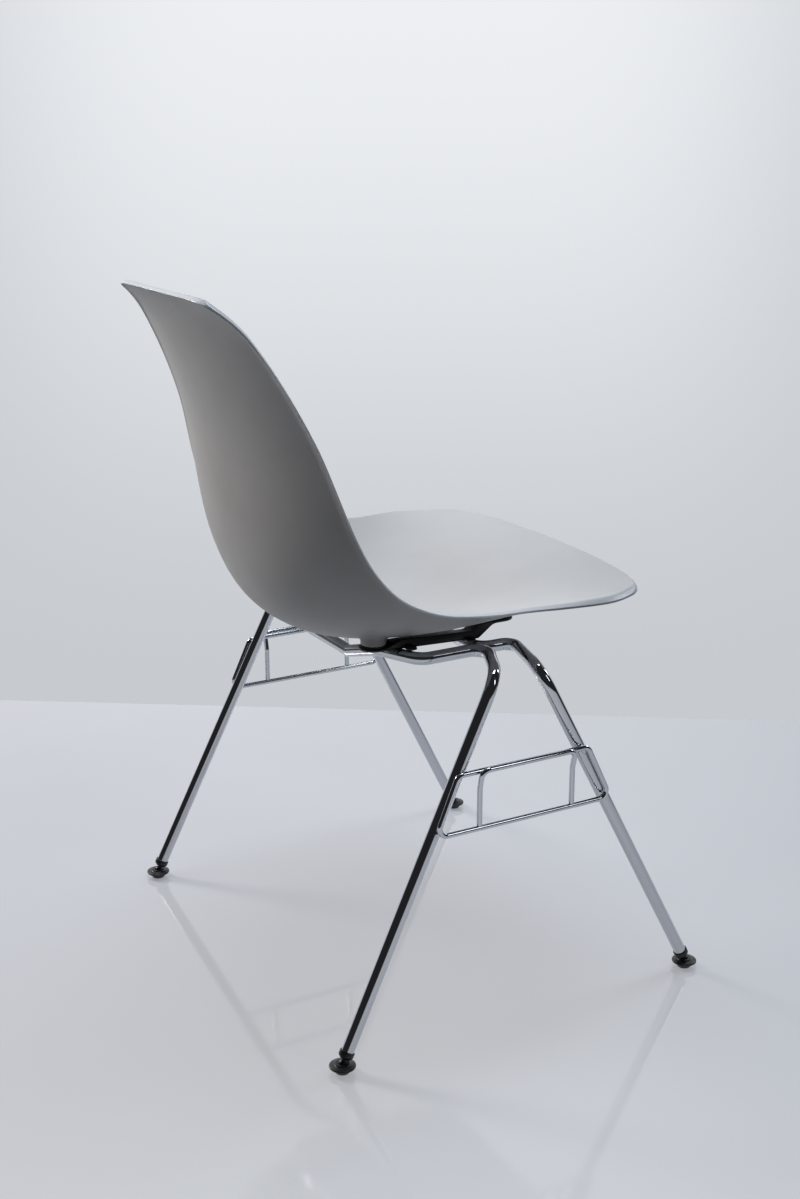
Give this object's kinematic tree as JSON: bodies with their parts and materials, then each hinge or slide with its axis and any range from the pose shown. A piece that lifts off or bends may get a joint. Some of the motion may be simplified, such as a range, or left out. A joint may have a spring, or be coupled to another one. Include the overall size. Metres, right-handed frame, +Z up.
{
  "type": "moulded plastic shell chair",
  "caption": "Armless moulded plastic shell seat on a stacking base of bent chromed tubes, with wire linking frames beside the legs and glides that level themselves.",
  "frame": {"origin": "on the floor, under the middle of the chair's bounding box", "axes": "+Z up, the sitter faces -Y, and +X is the sitter's left"},
  "size_m": [0.5496, 0.534, 0.7873],
  "materials": {
    "shell": "warm light grey, fine satin grain",
    "chrome": "polished chrome plate on steel",
    "black_steel": "black powder coat, satin",
    "rubber": "black, matt",
    "zinc": "zinc plate",
    "brass": "turned, plain",
    "nylon": "black nylon, satin"
  },
  "bodies": {
    "chair": {"seat_shell": "shell", "threaded_insert_front_right": "brass", "threaded_insert_front_left": "brass", "threaded_insert_rear_right": "brass", "threaded_insert_rear_left": "brass", "rubber_pad_front_right": "rubber", "rubber_pad_front_left": "rubber", "rubber_pad_rear_right": "rubber", "rubber_pad_rear_left": "rubber", "mount_screw_front_right": "zinc", "mount_screw_front_left": "zinc", "mount_screw_rear_right": "zinc", "mount_screw_rear_left": "zinc", "front_leg_tube": "chrome", "rear_leg_tube": "chrome", "side_bracket_right": "black_steel", "side_bracket_left": "black_steel", "link_loop_right": "chrome", "link_loop_left": "chrome", "link_hook_right": "chrome", "link_hook_left": "chrome", "glide_sleeve_front_right": "nylon", "glide_sleeve_front_left": "nylon", "glide_sleeve_rear_right": "nylon", "glide_sleeve_rear_left": "nylon"},
    "foot_front_right": {"glide_foot_front_right": "nylon"},
    "foot_front_left": {"glide_foot_front_left": "nylon"},
    "foot_rear_right": {"glide_foot_rear_right": "nylon"},
    "foot_rear_left": {"glide_foot_rear_left": "nylon"}
  },
  "joints": [
    {"name": "tilt_front_right", "type": "hinge", "parent": "chair", "child": "foot_front_right", "pos_m": [-0.26064, -0.2528, 0.009], "axis": [1, 0, 0], "range_deg": [-8, 8]},
    {"name": "tilt_front_left", "type": "hinge", "parent": "chair", "child": "foot_front_left", "pos_m": [0.26064, -0.2528, 0.009], "axis": [1, 0, 0], "range_deg": [-8, 8]},
    {"name": "tilt_rear_right", "type": "hinge", "parent": "chair", "child": "foot_rear_right", "pos_m": [-0.26064, 0.19707, 0.009], "axis": [1, 0, 0], "range_deg": [-8, 8]},
    {"name": "tilt_rear_left", "type": "hinge", "parent": "chair", "child": "foot_rear_left", "pos_m": [0.26064, 0.19707, 0.009], "axis": [1, 0, 0], "range_deg": [-8, 8]}
  ]
}
